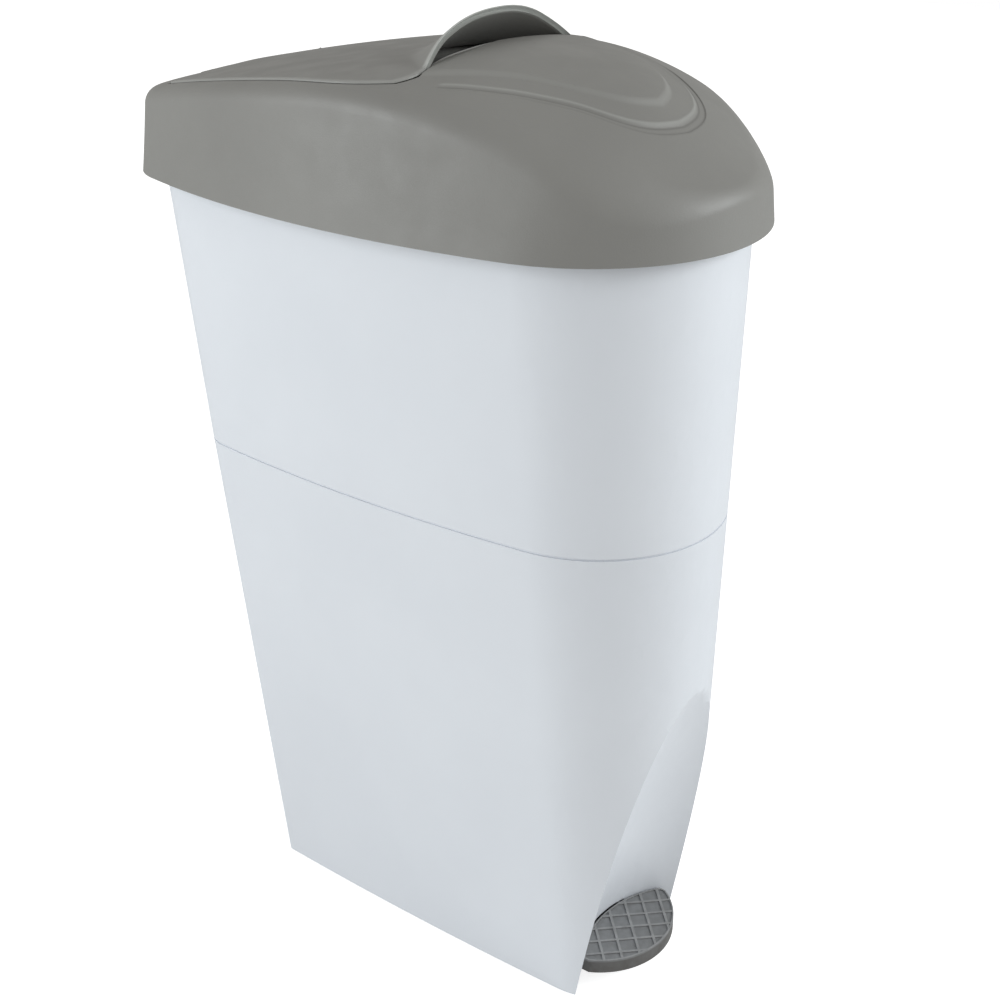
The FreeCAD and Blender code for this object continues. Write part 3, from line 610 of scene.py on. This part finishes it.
def rebate_place(column, row):
    """Wall of the rebate, the ledge that the flap lands on, and the trough's deeper wall."""
    count = len(MOUTH_LOOP) - 1
    kind, at = MOUTH_LOOP[column if column <= count else 2 * count - column]
    inward = (0.0, 0.0, LEDGE_WIDTH)[row]
    if kind == "front":
        edge = dome_place(2 * (len(FRONT_WAYS) - 1), at)
        inset = MOUTH_INSET + inward
        ledge_half = opening_point(inset, way_at(SKIRT_PLAN, inset, MOUTH_FRONT + inward)).x
        point = Vector((edge.x * ledge_half / FRONT_HALF, edge.y + inward))
        height = top_height(point.x, point.y) if row else edge.z
    else:
        point = mouth_point(at)
        if inward and at < WAY_TROUGH:
            deep = opening_point(MOUTH_INSET + inward, min(at, WAY_BACK))
            deep_y = min(max(deep.y, MOUTH_FRONT + inward), MOUTH_BACK - inward)
            point = Vector((min(point.x, deep.x), deep_y))
        height = top_height(point.x, point.y)
    if row:
        height -= LEDGE_DROP
    if row == 2 and kind == "side" and at > WAY_TROUGH:
        height = TROUGH_LOW
    sign = 1.0 if column <= count else -1.0
    return Vector((sign * point.x, point.y, height))


def sheet_of(name, columns, rows, place):
    """A grid of so many squares each way, with every corner put in its place."""
    bpy.ops.object.select_all(action="DESELECT")
    bpy.ops.mesh.primitive_grid_add(x_subdivisions=columns, y_subdivisions=rows, size=1.0)
    made = bpy.context.object
    made.name = name
    for corner in made.data.vertices:
        corner.co = place(corner.index % (columns + 1), corner.index // (columns + 1))
    return made


def tone_sheet(piece, columns, tone):
    """Write the tone of every corner of a sheet."""
    marks = piece.data.attributes.new("tone", "FLOAT", "POINT")
    for corner in range(len(piece.data.vertices)):
        marks.data[corner].value = tone(corner % (columns + 1), corner // (columns + 1))


def welded(pieces, name, distance=0.00002):
    """Join sheets edge to edge and turn every face outwards."""
    bpy.ops.object.select_all(action="DESELECT")
    for piece in pieces:
        piece.select_set(True)
    bpy.context.view_layer.objects.active = pieces[0]
    if len(pieces) > 1:
        bpy.ops.object.join()
    made = bpy.context.object
    made.name = name
    bpy.ops.object.mode_set(mode="EDIT")
    bpy.ops.mesh.select_all(action="SELECT")
    bpy.ops.mesh.remove_doubles(threshold=distance)
    bpy.ops.mesh.dissolve_degenerate(threshold=0.000005)
    bpy.ops.mesh.normals_make_consistent(inside=False)
    bpy.ops.object.mode_set(mode="OBJECT")
    return made


def walled(piece, thickness):
    """Give a skin its moulded thickness, inwards."""
    wall = piece.modifiers.new("wall", "SOLIDIFY")
    wall.thickness = thickness
    wall.offset = -1.0
    pick(piece)
    bpy.ops.object.modifier_apply(modifier=wall.name)


def faces_up(piece):
    """Turn the skin over if its largest level face looks down."""
    level = max(piece.data.polygons, key=lambda face: abs(face.normal.z) * face.area)
    if level.normal.z < 0:
        pick(piece)
        bpy.ops.object.mode_set(mode="EDIT")
        bpy.ops.mesh.select_all(action="SELECT")
        bpy.ops.mesh.flip_normals()
        bpy.ops.object.mode_set(mode="OBJECT")


skin = sheet_of("cover_skin", 2 * LAST, SKIN_ROWS, both_sides(skin_place))
dome = sheet_of("cover_dome", 2 * (len(FRONT_WAYS) - 1), DOME_ROWS, dome_place)
tone_sheet(dome, 2 * (len(FRONT_WAYS) - 1), dome_tone)
rebate = sheet_of("cover_rebate", 2 * (len(MOUTH_LOOP) - 1), 2, rebate_place)
cover = welded([skin, dome, rebate], "cover_moulding")
faces_up(cover)
walled(cover, LID_WALL)
broken_edges(cover, 0.0006, sharp=48.0)
cover.data.materials.append(grey_plastic)
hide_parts("lid_cover")
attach(cover, "cover")


# ---- flap ------------------------------------------------------------------------------------
# The hinged flap: one grey moulding that follows the lid's top, with a finger hood arched up over
# its front edge and a pocket floor under it. A roll along its back turns on the hinge pin.
FLAP_INSET = 0.019
FLAP_FRONT, FLAP_BACK = -0.028, 0.1585
TONGUE_HALF, TONGUE_BACK = 0.0485, 0.165
FLAP_PROUD = 0.0012
FLAP_THICK = 0.0034
HOOD_HALF, HOOD_RISE, HOOD_LENGTH = 0.0675, 0.0197, 0.054
HOOD_SOFT = 0.06
HOOD_LIP_FROM = 0.583      # the front edge above this height is the hood's lip
EDGE_ROUND = ((0.0, 0.0012), (0.0004, 0.0004), (0.0013, 0.0))    # in from the edge, drop


def half_width(y):
    return opening_point(FLAP_INSET, way_at(SKIRT_PLAN, FLAP_INSET, y)).x


def above_zero(value):
    """The value where it is positive and nothing where it isn't, with a soft turn between."""
    if value > HOOD_SOFT:
        return value
    return (value + HOOD_SOFT) ** 2 / (4 * HOOD_SOFT) if value > -HOOD_SOFT else 0.0


def hood_height(x, y):
    """The hood: an arch over the front edge that falls away behind it."""
    back = min(max((y - FLAP_FRONT) / HOOD_LENGTH, 0), 1)
    fall = 1 - (1 - back) ** 2
    return HOOD_RISE * above_zero(1 - abs(x / HOOD_HALF) ** 2.5 - fall)


EDGE_IN = EDGE_ROUND[-1][0]
FLAP_YS = ([FLAP_FRONT + d for d, _ in EDGE_ROUND] + steps(FLAP_FRONT + EDGE_IN, 0.036, 30)
           + steps(0.036, 0.060, 6) + steps(0.060, FLAP_BACK - EDGE_IN, 16)
           + [FLAP_BACK - d for d, _ in reversed(EDGE_ROUND[:-1])])
FLAP_SPLIT = TONGUE_HALF / half_width(FLAP_BACK)
FLAP_SHARES = steps(0.0, FLAP_SPLIT - 0.001, 22) + steps(FLAP_SPLIT + 0.001, 0.985, 12)
FLAP_SHARES.insert(22, FLAP_SPLIT + 0.001)
FLAP_ACROSS = [0.0] + FLAP_SHARES
FLAP_COLUMNS = len(FLAP_ACROSS) - 1 + len(EDGE_ROUND)


def flap_place(column, row):
    side = column - FLAP_COLUMNS
    number = abs(side)
    y = FLAP_YS[row]
    drop = 0.0
    from_back = len(FLAP_YS) - 1 - row
    if row < len(EDGE_ROUND):
        drop = EDGE_ROUND[row][1]
    if from_back < len(EDGE_ROUND):
        drop = EDGE_ROUND[from_back][1]
    half = half_width(y)
    if number < len(FLAP_ACROSS):
        x = FLAP_ACROSS[number] * (half - EDGE_IN)
        if FLAP_ACROSS[number] < FLAP_SPLIT and from_back < len(EDGE_ROUND):
            y += TONGUE_BACK - FLAP_BACK
            x = min(x, TONGUE_HALF)
    else:
        inward, fall = EDGE_ROUND[len(EDGE_ROUND) - 1 - (number - len(FLAP_ACROSS))]
        x = half - inward
        drop = max(drop, fall)
    x = math.copysign(x, side) if side else 0.0
    height = FLAP_PROUD + hood_height(x, y) - drop
    at = bowed(Vector((x, y)), y - FLAP_FRONT)
    return Vector((at.x, at.y, top_height(at.x, at.y) + height))


def flap_tone(column, row):
    """A painted highlight along the flap's edges, strongest on the hood's lip."""
    on_hood = row < len(EDGE_ROUND) and flap_place(column, row).z > HOOD_LIP_FROM
    on_edge = abs(column - FLAP_COLUMNS) > FLAP_COLUMNS - 3 or row < len(EDGE_ROUND)
    return 0.9 if on_hood else 0.35 if on_edge else 0.0


flap = sheet_of("flap_skin", 2 * FLAP_COLUMNS, len(FLAP_YS) - 1, flap_place)
tone_sheet(flap, 2 * FLAP_COLUMNS, flap_tone)
flap = welded([flap], "flap_moulding")
faces_up(flap)
walled(flap, FLAP_THICK)
broken_edges(flap, 0.0004, sharp=50.0, segments=2)

POCKET_HALF, POCKET_BACK, POCKET_THICK = 0.0655, 0.026, 0.0022
POCKET_DEEP, POCKET_RIM = 0.0050, 0.0021
POCKET_COLUMNS = 48
POCKET_YS = [0.0, 0.0005, 0.0012, 0.0022, 0.0030, 0.0042] + steps(0.0042, POCKET_BACK - FLAP_FRONT, 24)


def pocket_place(column, row):
    """The pocket's floor: a thin raised rim along the front, and a hollow behind it."""
    across = mix(-1.0, 1.0, column / POCKET_COLUMNS)
    x, back = across * POCKET_HALF, POCKET_YS[row]
    y = FLAP_FRONT + back
    rim = POCKET_RIM * (1 - ease(abs(back - 0.0014) / 0.0014))
    length = POCKET_BACK - FLAP_FRONT
    hollow = POCKET_DEEP * ease((back - 0.0025) / 0.014) * (1 - ease((back - 0.6 * length) / (0.4 * length)))
    at = bowed(Vector((x, y)), back)
    return Vector((at.x, at.y, top_height(at.x, at.y) - 0.0006 + (rim - hollow) * (1 - across ** 4)))


pocket = sheet_of("pocket_floor", POCKET_COLUMNS, len(POCKET_YS) - 1, pocket_place)
faces_up(pocket)
walled(pocket, POCKET_THICK)
broken_edges(pocket, 0.0008, sharp=50.0)
for piece in (flap, pocket):
    piece.data.materials.append(grey_plastic)
    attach(piece, "flap")
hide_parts("lid_flap")


# ---- hinge -----------------------------------------------------------------------------------
# A bored roll along the flap's back edge turns on a steel pin between two ears that hang from the
# cover. A lug beside the roll's middle is what the rod's tip pushes on.
HINGE_AT = Vector((0.0, 0.165, 0.549))
LUG_AT = Vector((0.0, 0.15373, 0.54168))
LUG_WIDE, LUG_R, LUG_HALF, LUG_TOP = 0.007, 0.0032, 0.0022, 0.5560
ROLL_HALF, ROLL_R, ROLL_BORE = 0.0485, 0.0048, 0.00206
EAR_INNER, EAR_OUTER, EAR_R, EAR_TOP = 0.0495, 0.0580, 0.0046, 0.5520
ROLL_PROFILE = ((-ROLL_HALF, ROLL_BORE + 0.0004), (-ROLL_HALF, ROLL_R - 0.0006),
                (-ROLL_HALF + 0.0002, ROLL_R - 0.0002), (-ROLL_HALF + 0.0006, ROLL_R),
                (ROLL_HALF - 0.0006, ROLL_R), (ROLL_HALF - 0.0002, ROLL_R - 0.0002),
                (ROLL_HALF, ROLL_R - 0.0006), (ROLL_HALF, ROLL_BORE + 0.0004),
                (ROLL_HALF - 0.0004, ROLL_BORE), (-ROLL_HALF + 0.0004, ROLL_BORE))


def turned(name, profile, centre, segments=48):
    """A ring turned about a line along X, from (x, radius) corners in order round its section."""
    def place(column, row):
        x, radius = profile[row % len(profile)]
        angle = 2 * math.pi * column / segments
        return centre + Vector((x, radius * math.cos(angle), radius * math.sin(angle)))

    return welded([sheet_of(name, segments, len(profile), place)], name, 0.000005)


def hanging_lug(name, low_x, high_x, centre, radius, half, top):
    """An upright web with a round lower end, and its two faces' edges rounded."""
    meet = math.acos(min(half / radius, 1.0))
    arc = [mix(math.pi - meet, 2 * math.pi + meet, k / 28) for k in range(29)]
    slices = ((low_x, 1.0), (low_x, 0.20), (low_x + 0.0003, 0.07), (low_x + 0.0007, 0.0),
              (high_x - 0.0007, 0.0), (high_x - 0.0003, 0.07), (high_x, 0.20), (high_x, 1.0))
    outline = [(radius * math.cos(a), radius * math.sin(a)) for a in arc]
    outline += [(half, top - centre.z), (-half, top - centre.z)]

    def place(column, row):
        x, shrink = slices[row]
        y, z = outline[column % len(outline)]
        middle = 0.5 * (top - centre.z) if z > 0 else 0.0
        return Vector((x, centre.y + y * (1 - shrink), centre.z + middle + (z - middle) * (1 - shrink)))

    return welded([sheet_of(name, len(outline), len(slices) - 1, place)], name, 0.000005)


flap_roll = turned("flap_roll", ROLL_PROFILE, HINGE_AT)
flap_lug = hanging_lug("flap_lug", -LUG_WIDE, LUG_WIDE, LUG_AT, LUG_R, LUG_HALF, LUG_TOP)
ear_left = hanging_lug("hinge_ear", -EAR_OUTER, -EAR_INNER, HINGE_AT, EAR_R, EAR_R, EAR_TOP)
ear_right = hanging_lug("hinge_ear_right", EAR_INNER, EAR_OUTER, HINGE_AT, EAR_R, EAR_R, EAR_TOP)
for piece, body in ((flap_roll, "flap"), (flap_lug, "flap"), (ear_left, "cover"), (ear_right, "cover")):
    smooth(piece)
    piece.data.materials.append(grey_plastic)
    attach(piece, body)


# ---- ribs inside the cover -------------------------------------------------------------------
# Eleven stepped ribs inside the skirt centre the cover on the casing's rim and rest on the ring.
RIM_PLAN = (-0.1855, 0.1823, 0.0940, 0.1021, 0.0110, 0.0402)
RIB_LOW, RIB_REST, RIB_TOP = 0.5032, 0.5223, 0.5343
RIB_BACK_TOP, RIB_NOSE_TOP, RIB_LAP = 0.5313, 0.5243, 0.0004
RIB_THICK, RIB_CLEAR, RIB_SHELF, RIB_SUNK = 0.0024, 0.0026, 0.0090, 0.0012
RIB_YS, RIB_X = (-0.110, -0.030, 0.050, 0.130), 0.055


def rib_block(place):
    """A block whose eight corners go where place(along, across, up) puts them; along 1 is the wall."""
    bpy.ops.object.select_all(action="DESELECT")
    bpy.ops.mesh.primitive_cube_add(size=2.0)
    block = bpy.context.object
    for corner in block.data.vertices:
        corner.co = place(corner.co.x > 0, 1 if corner.co.y > 0 else -1, corner.co.z > 0)
    return block


def side_rib(side, y, z_low, z_high, inner):
    rim = plan_point(RIM_PLAN, 0.0, way_at(RIM_PLAN, 0.0, y)).x

    def place(along, across, up):
        z = z_high if up else z_low
        x = wall_point(way_at(SKIRT_PLAN, 0.0, y), z).x - RIB_SUNK if along else rim + inner
        return Vector((side * x, y + across * RIB_THICK / 2, z))

    return rib_block(place)


def end_rib(x, nose, z_low, z_high, inner):
    """A rib on the flat back, or on the nose."""
    rim = RIM_PLAN[0] if nose else RIM_PLAN[1]
    out = -1 if nose else 1

    def place(along, across, up):
        z = z_high if up else z_low
        wall = wall_point(0.0 if nose else 3.2, z).y - out * RIB_SUNK
        return Vector((x + across * RIB_THICK / 2, wall if along else rim + out * inner, z))

    return rib_block(place)


rib_blocks = []
for z_low, z_high, inner in ((RIB_LOW, RIB_REST + RIB_LAP, RIB_CLEAR), (RIB_REST, RIB_TOP, -RIB_SHELF)):
    for y in RIB_YS:
        rib_blocks += [side_rib(-1, y, z_low, z_high, inner), side_rib(1, y, z_low, z_high, inner)]
    rib_blocks += [end_rib(-RIB_X, False, z_low, min(z_high, RIB_BACK_TOP), inner),
                   end_rib(RIB_X, False, z_low, min(z_high, RIB_BACK_TOP), inner),
                   end_rib(0.0, True, z_low, min(z_high, RIB_NOSE_TOP), inner)]
ribs = welded(rib_blocks, "cover_ribs", 0.000001)
broken_edges(ribs, 0.0004, sharp=50.0, segments=2)
ribs.data.materials.append(grey_plastic)
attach(ribs, "cover")


# ---- pedal -----------------------------------------------------------------------------------
# A grey tread with crossed ribs, pale where shoes rub them and dark down its sides, on a plated
# steel lever that turns on an axle in a folded bracket.
def worn_tread():
    """Tread plastic: the tone follows the height, from the dark sides up to the rubbed ribs."""
    made, tree, shader = finish_nodes("tread_plastic", (0.20, 0.20, 0.20), 0.55)
    place = tree.nodes.new("ShaderNodeTexCoord")
    split = tree.nodes.new("ShaderNodeSeparateXYZ")
    tree.links.new(place.outputs["Object"], split.inputs["Vector"])
    ramp = tree.nodes.new("ShaderNodeValToRGB")
    stops = ramp.color_ramp.elements
    stops[0].position, stops[0].color = 0.10, (0.105, 0.100, 0.095, 1.0)
    stops[1].position, stops[1].color = 1.0, (0.335, 0.335, 0.335, 1.0)
    cells = stops.new(0.45)
    cells.color = (0.205, 0.208, 0.212, 1.0)
    ledge = stops.new(0.62)
    ledge.color = (0.215, 0.218, 0.222, 1.0)
    tree.links.new(spread(tree, split.outputs["Z"], 0.0, 1.0, 0.0228, 0.0252), ramp.inputs["Fac"])
    rubbed = tree.nodes.new("ShaderNodeMix")
    rubbed.data_type = "RGBA"
    rubbed.inputs["B"].default_value = (0.150, 0.150, 0.150, 1.0)
    tree.links.new(spread(tree, grain(tree, 160.0, 3.0), 0.0, 0.45), rubbed.inputs["Factor"])
    tree.links.new(ramp.outputs["Color"], rubbed.inputs["A"])
    tree.links.new(rubbed.outputs["Result"], shader.inputs["Base Color"])
    tree.links.new(spread(tree, grain(tree, 90.0, 2.0), 0.48, 0.62), shader.inputs["Roughness"])
    relief(tree, shader, ((grain(tree, 1600.0, 4.0), 1.0),), 0.00006)
    return made


def plated(name, base, dull, roughness):
    """Zinc-plated steel: bright metal with a faint cloudy bloom and fine scratches."""
    made, tree, shader = finish_nodes(name, base, roughness)
    shader.inputs["Metallic"].default_value = 1.0
    two_tones(tree, shader, grain(tree, 60.0, 4.0), dull, base)
    tree.links.new(spread(tree, grain(tree, 220.0, 3.0), roughness - 0.08, roughness + 0.12),
                   shader.inputs["Roughness"])
    relief(tree, shader, ((grain(tree, 3000.0, 3.0), 1.0),), 0.00002)
    return made


def dress(node, material):
    """Give a CAD piece that is kept as it is its material."""
    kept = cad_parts[node]
    kept.data.materials.clear()
    kept.data.materials.append(material)


tread_plastic = worn_tread()
steel = plated("plated_steel", (0.62, 0.62, 0.60), (0.50, 0.50, 0.49), 0.33)
dressed_copy("pedal_tread", "pedal_tread_pad", "pedal", tread_plastic, 0.0005)
dressed_copy("pedal_lever", "pedal_lever_pressing", "pedal", steel, 0.0004)
dressed_copy("pivot_bracket", "pivot_bracket_pressing", "bin", steel, 0.0004)
for node in ("bracket_screws", "pedal_axle", "axle_clips", "tread_screws", "link_pin", "push_rod",
             "guide_screws", "hinge_pin", "pin_clips"):
    dress(node, steel)


# ---- bucket, ring and channel ----------------------------------------------------------------
# The lift-out bucket and the ring that pins its bag are a plain darker grey; a white channel
# clips over the rod behind them. Rod guides, rod ends, bushes, buffers and feet are small parts.
liner = moulded("liner_plastic", (0.150, 0.155, 0.160), (0.175, 0.180, 0.185), 0.50, 1200.0, 0.00005)
black = moulded("black_plastic", (0.018, 0.018, 0.019), (0.026, 0.026, 0.027), 0.45, 1800.0, 0.00004)
natural = moulded("natural_plastic", (0.62, 0.60, 0.53), (0.68, 0.66, 0.60), 0.40, 900.0, 0.00003)
rubber = moulded("grey_rubber", (0.045, 0.045, 0.047), (0.065, 0.065, 0.068), 0.80, 700.0, 0.00010)
dressed_copy("inner_bucket", "inner_bucket_shell", "bucket", liner, 0.0007)
dressed_copy("bag_ring", "bag_ring_hoop", "bucket", liner, 0.0005)
dressed_copy("rod_channel", "rod_channel_cover", "bin", white_plastic, 0.0005)
for node, material in (("rod_guide_lower", black), ("rod_guide_upper", black), ("lever_bushes", natural),
                       ("rod_foot", natural), ("rod_tip", natural), ("flap_buffers", rubber),
                       ("rubber_feet", rubber)):
    dress(node, material)
